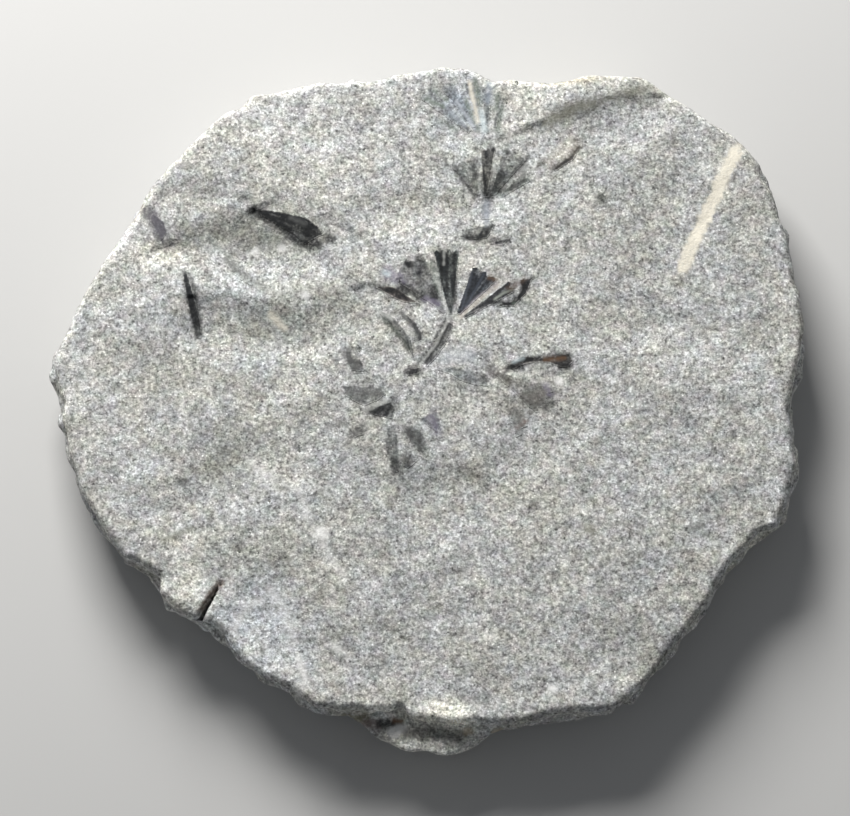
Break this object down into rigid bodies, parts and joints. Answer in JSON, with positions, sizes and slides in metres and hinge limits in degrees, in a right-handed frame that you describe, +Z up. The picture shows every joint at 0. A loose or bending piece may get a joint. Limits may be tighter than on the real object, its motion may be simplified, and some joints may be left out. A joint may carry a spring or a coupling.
{
  "type": "fossil sphenophyllum",
  "caption": "Loose slab of grey siltstone with a pressed Sphenophyllum shoot, whorls of black wedge-shaped leaves with toothed ends on its split face, to lie flat for display.",
  "frame": {"origin": "middle of the slab's box, on the surface that the slab lies on", "axes": "+Z up out of the split face with the plant; +X to the right and +Y away from someone who reads the plant with its stem towards them"},
  "size_m": [0.1014, 0.094, 0.0113],
  "materials": {
    "stone": "fine matt grey siltstone with a sandy speckle",
    "black_film": "black coaly film with a dull sheen",
    "grey_film": "thin grey carbon film, matt"
  },
  "bodies": {
    "root": {"slab": "stone", "middle_leaf_centre": "black_film", "middle_leaf_right": "black_film", "middle_leaf_lower_right": "black_film", "middle_leaf_far_left": "black_film", "middle_leaf_far_right": "black_film", "middle_stem": "black_film", "upper_leaf_centre": "black_film", "upper_leaf_right": "black_film", "left_stem": "black_film", "right_sliver": "black_film", "lower_joint": "black_film", "lower_leaf_left": "black_film", "right_leaf": "black_film", "crescent_scrap": "black_film", "small_scrap": "black_film", "black_leaf": "black_film", "middle_leaf_left": "grey_film", "upper_leaf_left": "grey_film", "upper_leaf_far_right": "grey_film", "upper_stem": "grey_film", "top_leaf_far_left": "grey_film", "top_leaf_left": "grey_film", "top_leaf_centre": "grey_film", "top_leaf_right": "grey_film", "top_leaf_far_right": "grey_film", "fan_leaf_upper": "grey_film", "fan_leaf_lower": "grey_film", "lower_leaf_upper_left": "grey_film", "lower_leaf_upper": "grey_film", "lower_leaf_outer_left": "grey_film", "lower_leaf_left_upper": "grey_film", "lower_leaf_far_left": "grey_film", "lower_leaf_bottom_left": "grey_film", "lower_leaf_bottom": "grey_film", "lower_leaf_bottom_right": "grey_film", "lower_leaf_right_lower": "grey_film", "lower_leaf_right": "grey_film", "far_left_leaf": "grey_film", "small_left_leaf": "grey_film"}
  },
  "joints": []
}
